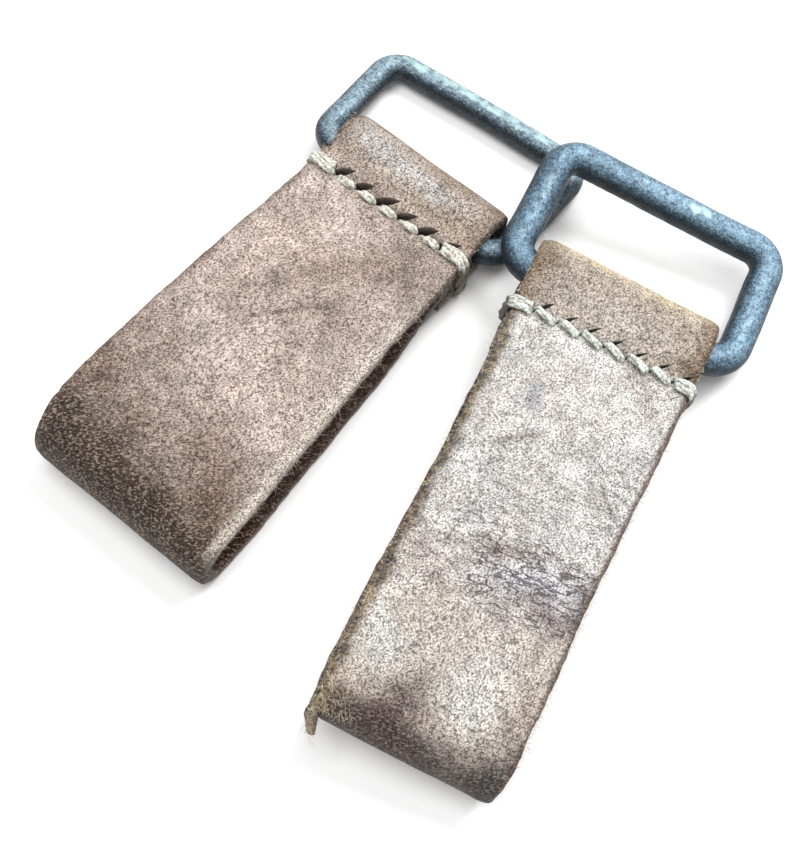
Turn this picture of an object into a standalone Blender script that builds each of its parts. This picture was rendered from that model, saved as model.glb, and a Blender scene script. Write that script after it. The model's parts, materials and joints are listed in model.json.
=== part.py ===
"""A matched pair of leather belt loops for hanging gear from a belt.

Each loop is one leather strap folded into a flat tube for the belt. Its head wraps the lower bar of a
rectangular ring of bent steel wire, and one waxed thread in saddle stitch holds the layers together
just below that bar. The two loops lie side by side, and the right ring lies on the left one.

Every loop is modelled in a frame of its own: X along the ring's lower bar, +Y from the belt fold
towards the ring, +Z up, with the lower bar's axis at Y = 0. Units are metres.
"""

from math import cos, pi, radians, sin, tan

import bmesh
import bpy
import numpy as np
from mathutils import Matrix, Vector

# Leather
LEATHER = 0.0024
LAYER_GAP = 0.00015
WIRE_GAP = 0.00025
EDGE_BEVEL = 0.00035
STATION_STEP = 0.0018
BELT_GAP = 0.0068

# Gap between the two ends of the bent wire
BUTT_GAP = 0.0003

# Seam, thread and awl slits
SEAM_FLAT_ABOVE = 0.0010
SEAM_FLAT_BELOW = 0.0022
SEAM_BOTTOM = 0.0015
TAIL_LENGTH = 0.0055
THREAD_R = 0.0005
THREAD_GAP = 0.0002
THREAD_BEND = 0.0007
STRAND_SPACING = 0.0014
BACK_STEP = 0.0014
SLIT_WIDTH = 0.0013
SPARE_SLIT_LENGTH = 0.0024
END_GAP = 0.0013

# The belt fold starts to open below the tail and is fully open this far from the bar
OPEN_Y = -0.0245

# Heights in a loop's frame
HALF = LEATHER / 2
TAIL_Z = SEAM_BOTTOM + HALF
MIDDLE_Z = TAIL_Z + LEATHER + LAYER_GAP
FRONT_Z = MIDDLE_Z + LEATHER + LAYER_GAP
SEAM_TOP = FRONT_Z + HALF
FOLD_R = (BELT_GAP + LEATHER) / 2

# Each outline row is a part of the strap's length below the seam, then the leather's reach to its left
# and right edge there. Each ring row is a corner of the bent wire's axis and the radius of its bend.
LOOPS = (
    {
        "side": "left",
        "place": (0.0, 0.0, 0.0),
        "turn": radians(-6.0),
        "roll": 0.0,
        "wire_r": 0.0020,
        "ring_tilt": radians(-7.2),
        "ring_shift": -0.0004,
        "ring": (
            (0.0164, 0.0, 0.0030),
            (0.0168, 0.0211, 0.0034),
            (-0.0168, 0.0185, 0.0034),
            (-0.0164, 0.0, 0.0030),
        ),
        "seam_y": -0.0052,
        "eye_slack": 0.0017,
        "length": 0.0578,
        "outline": (
            (0.0, 0.0137, 0.0137),
            (0.30, 0.0145, 0.0140),
            (0.55, 0.0158, 0.0143),
            (0.80, 0.0166, 0.0146),
            (0.93, 0.0161, 0.0147),
            (1.0, 0.0149, 0.0147),
        ),
        "first_hole": 0.0042,
        "holes": 6,
        "pitch": 0.0038,
        "spare_slit": 0.0016,
        "slit_angle": radians(38),
        "slit_length": 0.0040,
        "slit_shift": 0.0006,
        "leather": (0.36, 0.25, 0.19),
    },
    {
        "side": "right",
        "place": (0.0341, -0.0004, 0.00174),
        "turn": radians(6.6),
        "roll": radians(7.2),
        "wire_r": 0.0024,
        "ring_tilt": radians(3.0),
        "ring_shift": 0.0003,
        "ring": (
            (0.0173, 0.0, 0.0036),
            (0.0169, 0.0188, 0.0034),
            (-0.0169, 0.0188, 0.0034),
            (-0.0173, 0.0, 0.0036),
        ),
        "seam_y": -0.00735,
        "eye_slack": 0.0,
        "length": 0.0620,
        "outline": (
            (0.0, 0.01385, 0.01385),
            (0.30, 0.0132, 0.0130),
            (0.55, 0.0138, 0.0123),
            (0.80, 0.0142, 0.0124),
            (0.93, 0.0143, 0.0123),
            (1.0, 0.0134, 0.0121),
        ),
        "first_hole": 0.0032,
        "holes": 7,
        "pitch": 0.00357,
        "spare_slit": None,
        "slit_angle": radians(48),
        "slit_length": 0.0034,
        "slit_shift": 0.0003,
        "leather": (0.52, 0.45, 0.37),
    },
)

STEEL = (0.33, 0.38, 0.42)
LINEN = (0.66, 0.65, 0.58)


def clear_scene():
    for thing in list(bpy.data.objects):
        bpy.data.objects.remove(thing, do_unlink=True)


def make_material(name, color, roughness, metallic):
    material = bpy.data.materials.new(name)
    material.use_nodes = True
    shader = material.node_tree.nodes["Principled BSDF"]
    shader.inputs["Base Color"].default_value = (*color, 1.0)
    shader.inputs["Roughness"].default_value = roughness
    shader.inputs["Metallic"].default_value = metallic
    return material


def add_object(name, data, material=None, parent=None):
    thing = bpy.data.objects.new(name, data)
    bpy.context.collection.objects.link(thing)
    if material:
        data.materials.append(material)
    thing.parent = parent
    return thing


def bar_z(loop):
    """Height of the ring's lower bar: the wrap passes under it and rests on the ground."""
    return loop["wire_r"] + WIRE_GAP + LEATHER


def wrap_r(loop):
    """Radius of the leather's middle line round the bar."""
    return loop["wire_r"] + WIRE_GAP + HALF


def straight(start, end, smooth=False):
    """Points from start up to, but not including, end; smooth makes an S that is level at both ends."""
    start, end = Vector(start), Vector(end)
    count = max(1, round((end - start).length / STATION_STEP))
    points = []
    for index in range(count):
        part = index / count
        rise = part * part * (3 - 2 * part) if smooth else part
        points.append((start.x + (end.x - start.x) * part, start.y + (end.y - start.y) * rise))
    return points


def arc(center, radius, first, last):
    """Points of an arc in the side view, with its last point left to the next stretch."""
    count = max(3, round(abs(last - first) / radians(15)))
    angles = [first + (last - first) * index / count for index in range(count)]
    return [(center[0] + radius * cos(a), center[1] + radius * sin(a)) for a in angles]


def strap_path(loop):
    """The leather's middle line in side view (Y, Z), from the end held in the seam to the tail's end."""
    seam_y, slack = loop["seam_y"], loop["eye_slack"]
    top, bottom = bar_z(loop) + wrap_r(loop), bar_z(loop) - wrap_r(loop)
    seam_in = seam_y + SEAM_FLAT_ABOVE
    seam_out = seam_y - SEAM_FLAT_BELOW
    inner_end = -(loop["wire_r"] + WIRE_GAP + LEATHER / 4)
    fold_y = seam_y - loop["length"] + FOLD_R + HALF
    fold_top = HALF + 2 * FOLD_R
    tail_end = seam_y - TAIL_LENGTH

    path = straight((inner_end, MIDDLE_Z), (tail_end, MIDDLE_Z))
    path += straight((tail_end, MIDDLE_Z), (OPEN_Y, HALF), smooth=True)
    path += straight((OPEN_Y, HALF), (fold_y, HALF))
    path += arc((fold_y, HALF + FOLD_R), FOLD_R, -pi / 2, -3 * pi / 2)
    path += straight((fold_y, fold_top), (OPEN_Y, fold_top))
    path += straight((OPEN_Y, fold_top), (seam_out, FRONT_Z), smooth=True)
    path += straight((seam_out, FRONT_Z), (seam_in, FRONT_Z))
    path += straight((seam_in, FRONT_Z), (0.0, top), smooth=True)
    if slack:
        path += straight((0.0, top), (slack, top))
    path += arc((slack, bar_z(loop)), wrap_r(loop), pi / 2, -pi / 2)
    if slack:
        path += straight((slack, bottom), (0.0, bottom))
    path += straight((0.0, bottom), (seam_in, TAIL_Z), smooth=True)
    path += straight((seam_in, TAIL_Z), (tail_end, TAIL_Z))
    path.append((tail_end, TAIL_Z))
    return path


def reach(loop, y):
    """How far the leather reaches to the left and to the right of the middle at this Y."""
    along = (loop["seam_y"] - y) / loop["length"]
    stations, left, right = zip(*loop["outline"])
    return -np.interp(along, stations, left), np.interp(along, stations, right)


def head_edge(loop):
    """Half the leather's width at the seam."""
    return reach(loop, loop["seam_y"])[1]


def thread_holes(loop):
    """Where the thread goes through, as X positions along the seam."""
    first = -head_edge(loop) + loop["first_hole"]
    return [first + loop["pitch"] * index for index in range(loop["holes"])]


def slit_cutter(loop, parent):
    """Slanted awl slits through all the layers of the seam."""
    slits = [(x, loop["slit_length"]) for x in thread_holes(loop)]
    if loop["spare_slit"]:
        slits.insert(0, (-head_edge(loop) + loop["spare_slit"], SPARE_SLIT_LENGTH))
    builder = bmesh.new()
    turn = Matrix.Rotation(loop["slit_angle"], 4, "Z")
    along = Matrix.Translation((loop["slit_shift"], 0, 0))
    for x, length in slits:
        size = Matrix.Diagonal((length, SLIT_WIDTH, 4 * SEAM_TOP, 1.0))
        place = Matrix.Translation((x, loop["seam_y"], MIDDLE_Z)) @ turn @ along
        bmesh.ops.create_cube(builder, size=1.0, matrix=place @ size)
    mesh = bpy.data.meshes.new(loop["side"] + "_slits")
    builder.to_mesh(mesh)
    builder.free()
    cutter = add_object(loop["side"] + "_slit_cutter", mesh, parent=parent)
    cutter.hide_render = True
    cutter.display_type = "WIRE"
    return cutter


def make_strap(loop, parent):
    """One leather strap: a ribbon along the path, thickened, with its edges eased and its slits cut."""
    builder = bmesh.new()
    rows = []
    for y, z in strap_path(loop):
        rows.append([builder.verts.new((x, y, z)) for x in reach(loop, y)])
    for near, far in zip(rows, rows[1:]):
        builder.faces.new((near[0], near[1], far[1], far[0]))
    mesh = bpy.data.meshes.new(loop["side"] + "_strap")
    builder.to_mesh(mesh)
    builder.free()

    leather = make_material(loop["side"] + "_leather", loop["leather"], 0.85, 0.0)
    strap = add_object(loop["side"] + "_strap", mesh, leather, parent)
    thicken = strap.modifiers.new("thickness", "SOLIDIFY")
    thicken.thickness = LEATHER
    thicken.offset = 0.0
    thicken.use_even_offset = True
    ease = strap.modifiers.new("eased_edges", "BEVEL")
    ease.width = EDGE_BEVEL
    ease.segments = 1
    ease.limit_method = "ANGLE"
    ease.angle_limit = radians(60)
    pierce = strap.modifiers.new("awl_slits", "BOOLEAN")
    pierce.operation = "DIFFERENCE"
    pierce.solver = "EXACT"
    pierce.object = slit_cutter(loop, parent)
    return strap


def tube(name, points, radius, resolution, material, parent):
    """A round bar or thread along the points, closed at both ends."""
    curve = bpy.data.curves.new(name, "CURVE")
    curve.dimensions = "3D"
    curve.bevel_depth = radius
    curve.bevel_resolution = resolution
    curve.use_fill_caps = True
    spline = curve.splines.new("POLY")
    spline.points.add(len(points) - 1)
    for slot, point in zip(spline.points, points):
        slot.co = (*point, 1.0)
    spline.use_smooth = True
    return add_object(name, curve, material, parent)


def rounded(corners, bends, step=radians(30)):
    """The corners' path with each inner corner turned into an arc of its bend's radius."""
    points = [corners[0]]
    for before, corner, after, radius in zip(corners, corners[1:], corners[2:], bends):
        inward = (before - corner).normalized()
        outward = (after - corner).normalized()
        turn = pi - inward.angle(outward)
        if turn < radians(2):
            points.append(corner)
            continue
        back = radius * tan(turn / 2)
        back = min(back, 0.49 * (before - corner).length, 0.49 * (after - corner).length)
        bend = back / tan(turn / 2)
        center = corner + (inward + outward).normalized() * (bend / cos(turn / 2))
        start = corner + inward * back - center
        end = corner + outward * back - center
        count = max(1, round(turn / step))
        for index in range(count + 1):
            part = index / count
            swing = start * sin((1 - part) * turn) + end * sin(part * turn)
            points.append(center + swing / sin(turn))
    points.append(corners[-1])
    return points


def make_ring(loop, parent):
    """The wire ring, bent round four corners, with its butted ends in the middle of the lower bar."""
    half = BUTT_GAP / 2
    corners = [Vector((x, y, 0)) for x, y, _ in loop["ring"]]
    corners = [Vector((half, 0, 0)), *corners, Vector((-half, 0, 0))]
    bends = [bend for _, _, bend in loop["ring"]]
    steel = make_material(loop["side"] + "_steel", STEEL, 0.45, 0.9)
    path = rounded(corners, bends, radians(18))
    ring = tube(loop["side"] + "_ring", path, loop["wire_r"], 4, steel, parent)
    ring.location = (loop["ring_shift"], 0.0, bar_z(loop))
    ring.rotation_euler.x = loop["ring_tilt"]
    return ring


def make_thread(loop, parent):
    """One thread in saddle stitch: two strands pass in each slit, and each end goes round the edge."""
    over = SEAM_TOP + THREAD_GAP + THREAD_R
    under = SEAM_BOTTOM - THREAD_GAP - THREAD_R
    aside = head_edge(loop) + THREAD_GAP + THREAD_R
    angle = loop["slit_angle"]
    apart = Vector((cos(angle), sin(angle))) * STRAND_SPACING / 2
    holes = [Vector((x, loop["seam_y"])) for x in thread_holes(loop)]

    def low(index, z):
        return Vector((*(holes[index] - apart), z))

    def high(index, z):
        return Vector((*(holes[index] + apart), z))

    def strand(front):
        """The runs from the first hole to the last, starting on the front or on the back."""
        corners = []
        for index in range(len(holes) - 1):
            if front:
                corners += [high(index, over), low(index + 1, over)]
            else:
                start, end = low(index, under), high(index + 1, under)
                step = Vector((BACK_STEP, 0, 0))
                corners += [start, start + step, end - step, end]
            front = not front
        return corners, front

    first, first_ends_front = strand(True)
    second, _ = strand(False)
    last = len(holes) - 1
    left_turn = [
        high(0, under),
        Vector((-aside, high(0, 0).y, under)),
        Vector((-aside, low(0, 0).y, over)),
        low(0, over),
    ]
    stub = [low(last, under)]
    right_turn = [
        high(last, over),
        Vector((aside, high(last, 0).y, over)),
        Vector((aside, low(last, 0).y, under)),
        low(last, under) + Vector((END_GAP, 0, 0)),
    ]
    if first_ends_front:
        first, second = first + right_turn, second + stub
    else:
        first, second = first + stub, second + right_turn
    corners = list(reversed(first)) + left_turn + second
    linen = make_material(loop["side"] + "_linen", LINEN, 0.8, 0.0)
    path = rounded(corners, [THREAD_BEND] * len(corners))
    return tube(loop["side"] + "_thread", path, THREAD_R, 1, linen, parent)


def make_loop(loop):
    place = add_object(loop["side"] + "_loop", None)
    turn = Matrix.Rotation(loop["turn"], 4, "Z") @ Matrix.Rotation(loop["roll"], 4, "Y")
    place.matrix_world = Matrix.Translation(loop["place"]) @ turn
    return place, [make_strap(loop, place), make_ring(loop, place), make_thread(loop, place)]


def center_on_ground(places, pieces):
    """Moves both loops so that the origin is under the middle of the pair's box."""
    bpy.context.view_layer.update()
    view = bpy.context.evaluated_depsgraph_get()
    points = []
    for piece in pieces:
        seen = piece.evaluated_get(view)
        mesh = seen.to_mesh()
        points += [seen.matrix_world @ vertex.co for vertex in mesh.vertices]
        seen.to_mesh_clear()
    low = [min(point[axis] for point in points) for axis in range(3)]
    high = [max(point[axis] for point in points) for axis in range(3)]
    middle = Vector(((low[0] + high[0]) / 2, (low[1] + high[1]) / 2, low[2]))
    for place in places:
        place.location -= middle
    bpy.context.view_layer.update()


def main():
    clear_scene()
    places, pieces = [], []
    for loop in LOOPS:
        place, made = make_loop(loop)
        places.append(place)
        pieces += made
    center_on_ground(places, pieces)


main()
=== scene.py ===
"""Looks for the pair of leather belt loops: two worn straps, their bent wire rings and waxed threads.

Each loop is made in its own frame, in metres: X along the ring's lower bar, +Y from the belt fold to the
ring, +Z up, with the lower bar's axis at Y = 0. The frames are found from the record's ring joints.
"""

import json
from itertools import product
from math import cos, pi, radians, sin, tan

import bmesh
import bpy
import numpy as np
from mathutils import Matrix, Vector
from mathutils.kdtree import KDTree

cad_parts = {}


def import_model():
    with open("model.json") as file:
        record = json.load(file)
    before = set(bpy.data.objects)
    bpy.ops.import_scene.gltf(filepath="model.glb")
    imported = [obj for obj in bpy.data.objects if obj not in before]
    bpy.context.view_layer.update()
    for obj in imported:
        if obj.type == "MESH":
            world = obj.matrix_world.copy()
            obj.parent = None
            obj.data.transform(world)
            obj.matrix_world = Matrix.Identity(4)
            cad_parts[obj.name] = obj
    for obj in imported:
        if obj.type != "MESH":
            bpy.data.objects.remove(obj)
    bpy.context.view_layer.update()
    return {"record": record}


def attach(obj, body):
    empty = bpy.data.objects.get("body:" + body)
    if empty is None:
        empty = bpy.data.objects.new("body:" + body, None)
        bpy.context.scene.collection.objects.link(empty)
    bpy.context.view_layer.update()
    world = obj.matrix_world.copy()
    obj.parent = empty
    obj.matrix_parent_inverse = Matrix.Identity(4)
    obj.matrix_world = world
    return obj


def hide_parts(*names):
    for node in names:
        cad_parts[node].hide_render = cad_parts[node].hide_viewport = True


# Leather, as in the CAD part
LEATHER = 0.0024
LAYER_GAP = 0.00015
WIRE_GAP = 0.00025
BELT_GAP = 0.0068
EDGE_R = 0.0005
HALF = LEATHER / 2
SEAM_FLAT_ABOVE = 0.001
SEAM_FLAT_BELOW = 0.0022
SEAM_BOTTOM = 0.0015
TAIL_LENGTH = 0.0055
TAIL_Z = SEAM_BOTTOM + HALF
MIDDLE_Z = TAIL_Z + LEATHER + LAYER_GAP
FRONT_Z = MIDDLE_Z + LEATHER + LAYER_GAP
SEAM_TOP = FRONT_Z + HALF
FOLD_R = (BELT_GAP + LEATHER) / 2
FOLD_Z = HALF + FOLD_R
FOLD_TOP = HALF + 2 * FOLD_R
OPEN_Y = -0.0245

# Stitching
STRAND_SPACING = 0.0014
PLIES = 3
PLY_OFFSET = 0.9
TWIST_LENGTH = 0.01

# How finely the pieces are made
STATION_STEP = 0.0004
COLUMNS = 72
THREAD_STEP = 0.00018
PLY_SIDES = 8
RING_STEP = 0.0004
RING_SIDES = 36
FLAP_SIDES = 20

# How many loose fibres stand at the straps' edges, on the wraps, on the torn strip and at the torn corner
EDGE_FIBRES = {"left": 420, "right": 520}
WRAP_FIBRES = 150
STRIP_FIBRES = 50
CORNER_FIBRES = 260

# The camera: its place, its turns about Z, X and Z in degrees, and its lens and sensor in millimetres
CAMERA_PLACE = (0.03142, -0.06441, 0.18718)
CAMERA_TURNS = (-185.302, 19.702, 152.606)
LENS, SENSOR = 63.0, 36.0

# A narrow torn strip hangs from the right strap's lower left corner along this line
TORN_FLAP = ((-0.0131, -0.0676, 0.0088), (-0.0132, -0.0695, 0.0074), (-0.012, -0.0714, 0.0042))

LOOPS = (
    {
        "side": "left",
        "wire_r": 0.002,
        "ring_tilt": radians(-7.2),
        "ring_shift": -0.0004,
        "ring": (
            (0.0164, 0.0, 0.003),
            (0.0168, 0.0211, 0.0034),
            (-0.0168, 0.0185, 0.0034),
            (-0.0164, 0.0, 0.003),
        ),
        "seam_y": -0.0052,
        "eye_slack": 0.0017,
        "length": 0.0578,
        "outline": (
            (-0.3, 0.0137, 0.0137),
            (0.0, 0.0137, 0.0137),
            (0.3, 0.0145, 0.014),
            (0.55, 0.0158, 0.0143),
            (0.8, 0.0166, 0.0146),
            (0.93, 0.0161, 0.0147),
            (1.0, 0.0149, 0.0147),
        ),
        "first_hole": 0.0042,
        "holes": 6,
        "pitch": 0.0038,
        "spare_slit": 0.0016,
        "slit_angle": radians(38),
        "slit_length": 0.0046,
        "slit_width": 0.0012,
        "slit_shift": 0.0007,
        "ply_r": 0.00034,
        "seed": 3,
    },
    {
        "side": "right",
        "wire_r": 0.0024,
        "ring_tilt": radians(3.0),
        "ring_shift": 0.0003,
        "ring": (
            (0.0173, 0.0, 0.0036),
            (0.0169, 0.0188, 0.0034),
            (-0.0169, 0.0188, 0.0034),
            (-0.0173, 0.0, 0.0036),
        ),
        "seam_y": -0.00735,
        "eye_slack": 0.0,
        "length": 0.062,
        "outline": (
            (-0.3, 0.01385, 0.01385),
            (0.0, 0.01385, 0.01385),
            (0.3, 0.0132, 0.013),
            (0.55, 0.0138, 0.0123),
            (0.8, 0.0142, 0.0124),
            (0.93, 0.0143, 0.0123),
            (1.0, 0.0134, 0.0121),
        ),
        "first_hole": 0.0032,
        "holes": 7,
        "pitch": 0.00357,
        "spare_slit": None,
        "slit_angle": radians(42),
        "slit_length": 0.0042,
        "slit_width": 0.0005,
        "slit_shift": 0.0012,
        "ply_r": 0.0003,
        "seed": 11,
    },
)


# ---- small helpers


def value_noise(points, size, seed):
    """Smooth random values from -1 to 1, with bumps about this size apart."""
    points = np.atleast_2d(points) / size
    cells = np.floor(points).astype(np.int64)
    parts = points - cells
    parts = parts * parts * (3 - 2 * parts)
    total = np.zeros(len(points))
    for corner in product((0, 1), repeat=points.shape[1]):
        key = np.full(len(points), seed * 974711, dtype=np.int64)
        weight = np.ones(len(points))
        for axis, step in enumerate(corner):
            key = (key ^ (cells[:, axis] + step) * (73856093, 19349663, 83492791)[axis]) & 0xFFFFFFFF
            key = (key ^ (key >> 13)) * 1274126177 & 0xFFFFFFFF
            weight = weight * (parts[:, axis] if step else 1 - parts[:, axis])
        total += weight * ((key >> 7) % 65536 / 32767.5 - 1)
    return total


def layered(points, size, seed, octaves=3):
    """Several sizes of smooth noise laid over each other."""
    total = np.zeros(len(points))
    for octave in range(octaves):
        total += value_noise(points, size / 2**octave, seed + octave) / 2**octave
    return total / 1.6


def ramp(low, high, value):
    """0 below low, 1 above high, and smooth between."""
    part = np.clip((value - low) / (high - low), 0, 1)
    return part * part * (3 - 2 * part)


def spot(x, y, center, size, angle=0.0):
    """A soft oval spot: 1 in its middle, 0 well outside."""
    dx, dy = x - center[0], y - center[1]
    u = dx * cos(angle) + dy * sin(angle)
    v = -dx * sin(angle) + dy * cos(angle)
    return np.exp(-((u / size[0]) ** 2) - (v / size[1]) ** 2)


def mesh_object(name, vertices, faces, smooth=True):
    mesh = bpy.data.meshes.new(name)
    mesh.from_pydata([tuple(v) for v in vertices], [], faces)
    mesh.validate()
    if smooth:
        mesh.shade_smooth()
    thing = bpy.data.objects.new(name, mesh)
    bpy.context.collection.objects.link(thing)
    return thing


def coordinates(mesh):
    values = np.empty(len(mesh.vertices) * 3)
    mesh.vertices.foreach_get("co", values)
    return values.reshape(-1, 3)


def add_value(mesh, name, values):
    """Stores one number per vertex for the materials."""
    layer = mesh.attributes.new(name, "FLOAT", "POINT")
    layer.data.foreach_set("value", np.clip(values, 0, 1).astype(np.float32))


def add_color(mesh, name, colors):
    layer = mesh.attributes.new(name, "FLOAT_COLOR", "POINT")
    rgba = np.concatenate([np.clip(colors, 0, 1), np.ones((len(colors), 1))], axis=1)
    layer.data.foreach_set("color", rgba.astype(np.float32).ravel())


def sweep(points, radii, sides, closed=False):
    """Vertices and faces of a round tube along the points, with its ends closed."""
    points = np.asarray(points)
    count = len(points)
    if closed:
        tangents = np.roll(points, -1, 0) - np.roll(points, 1, 0)
    else:
        tangents = np.gradient(points, axis=0)
    tangents /= np.linalg.norm(tangents, axis=1)[:, None]
    normal = np.cross(tangents[0], (0.0, 0.0, 1.0))
    if np.linalg.norm(normal) < 0.1:
        normal = np.cross(tangents[0], (1.0, 0.0, 0.0))
    angles = np.arange(sides) * 2 * pi / sides
    vertices = []
    for point, tangent, radius in zip(points, tangents, radii):
        normal = normal - tangent * normal.dot(tangent)
        normal /= np.linalg.norm(normal)
        other = np.cross(tangent, normal)
        ring = np.cos(angles)[:, None] * normal + np.sin(angles)[:, None] * other
        vertices.append(point + ring * radius)
    vertices = np.concatenate(vertices)
    faces = []
    for i in range(count if closed else count - 1):
        near, far = i * sides, (i + 1) % count * sides
        for k in range(sides):
            after = (k + 1) % sides
            faces.append((near + k, near + after, far + after, far + k))
    if not closed:
        faces.append(tuple(reversed(range(sides))))
        faces.append(tuple(range((count - 1) * sides, count * sides)))
    return vertices, faces


def joined(tubes):
    """Many tubes as one set of vertices and faces."""
    vertices, faces, count = [], [], 0
    for tube, sides in tubes:
        vertices.append(tube)
        faces += [tuple(count + k for k in face) for face in sides]
        count += len(tube)
    return np.concatenate(vertices), faces


def resample(points, step):
    points = np.asarray(points)
    lengths = np.linalg.norm(np.diff(points, axis=0), axis=1)
    along = np.concatenate([[0], np.cumsum(lengths)])
    wanted = np.linspace(0, along[-1], max(2, int(along[-1] / step)))
    return np.stack([np.interp(wanted, along, points[:, axis]) for axis in range(3)], axis=1)


def softened(points, passes):
    """Rounds a fine path off, holding its two ends."""
    points = points.copy()
    for _ in range(passes):
        points[1:-1] = (points[:-2] + 2 * points[1:-1] + points[2:]) / 4
    return points


# ---- a loop's shape


def bar_z(loop):
    return loop["wire_r"] + WIRE_GAP + LEATHER


def wrap_r(loop):
    return loop["wire_r"] + WIRE_GAP + HALF


def reach(loop, y):
    """How far the leather reaches to the left and to the right of the middle, eased between stations."""
    along = (loop["seam_y"] - y) / loop["length"]
    stations, left, right = (np.array(column) for column in zip(*loop["outline"]))
    sides = []
    for values in (left, right):
        blur = [np.interp(along + shift, stations, values) for shift in (-0.06, -0.03, 0.0, 0.03, 0.06)]
        blur = np.mean(blur, axis=0)
        sides.append(np.where(along > 0.9, np.minimum(blur, np.interp(along, stations, values)), blur))
    return sides


def head_edge(loop):
    return loop["outline"][0][2]


def fold_y(loop):
    return loop["seam_y"] - loop["length"] + FOLD_R + HALF


def straight(start, end, smooth=False):
    start, end = np.array(start), np.array(end)
    count = max(2, round(np.linalg.norm(end - start) / STATION_STEP))
    part = np.arange(count) / count
    rise = part * part * (3 - 2 * part) if smooth else part
    return list(zip(start[0] + (end[0] - start[0]) * part, start[1] + (end[1] - start[1]) * rise))


def arc(center, radius, first, last):
    count = max(8, round(abs(last - first) * radius / STATION_STEP))
    angles = first + (last - first) * np.arange(count) / count
    return list(zip(center[0] + radius * np.cos(angles), center[1] + radius * np.sin(angles)))


def strap_path(loop):
    """The leather's middle line in side view (Y, Z), as in the CAD part but finer."""
    seam_y, slack = loop["seam_y"], loop["eye_slack"]
    top, bottom = bar_z(loop) + wrap_r(loop), bar_z(loop) - wrap_r(loop)
    seam_in, seam_out = seam_y + SEAM_FLAT_ABOVE, seam_y - SEAM_FLAT_BELOW
    inner_end = -(loop["wire_r"] + WIRE_GAP + LEATHER / 4)
    tail_end = seam_y - TAIL_LENGTH
    path = straight((inner_end, MIDDLE_Z), (tail_end, MIDDLE_Z))
    path += straight((tail_end, MIDDLE_Z), (OPEN_Y, HALF), smooth=True)
    path += straight((OPEN_Y, HALF), (fold_y(loop), HALF))
    path += arc((fold_y(loop), FOLD_Z), FOLD_R, -pi / 2, -3 * pi / 2)
    path += straight((fold_y(loop), FOLD_TOP), (OPEN_Y, FOLD_TOP))
    path += straight((OPEN_Y, FOLD_TOP), (seam_out, FRONT_Z), smooth=True)
    path += straight((seam_out, FRONT_Z), (seam_in, FRONT_Z))
    path += straight((seam_in, FRONT_Z), (0.0, top), smooth=True)
    if slack:
        path += straight((0.0, top), (slack, top))
    path += arc((slack, bar_z(loop)), wrap_r(loop), pi / 2, -pi / 2)
    if slack:
        path += straight((slack, bottom), (0.0, bottom))
    path += straight((0.0, bottom), (seam_in, TAIL_Z), smooth=True)
    path += straight((seam_in, TAIL_Z), (tail_end, TAIL_Z))
    path.append((tail_end, TAIL_Z))
    return np.array(path)


def thread_holes(loop):
    first = -head_edge(loop) + loop["first_hole"]
    return [first + loop["pitch"] * index for index in range(loop["holes"])]


def section():
    """The leather's cut section as (weight of the right edge, outward offset, height) in its own plane."""
    inner = HALF - EDGE_R
    points = [(part, 0.0, HALF) for part in np.linspace(0, 1, COLUMNS)]
    turns = np.linspace(pi / 2, 0, 5)[1:]
    corner = [(cos(t) * EDGE_R, inner + sin(t) * EDGE_R) for t in turns]
    right = corner + [(EDGE_R, inner / 3), (EDGE_R, -inner / 3)]
    right += [(offset, -height) for offset, height in reversed(corner)]
    points += [(1.0, offset, height) for offset, height in right]
    points += [(part, 0.0, -HALF) for part in np.linspace(1, 0, COLUMNS)]
    points += [(0.0, -offset, height) for offset, height in reversed(right)]
    return np.array(points)


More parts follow.
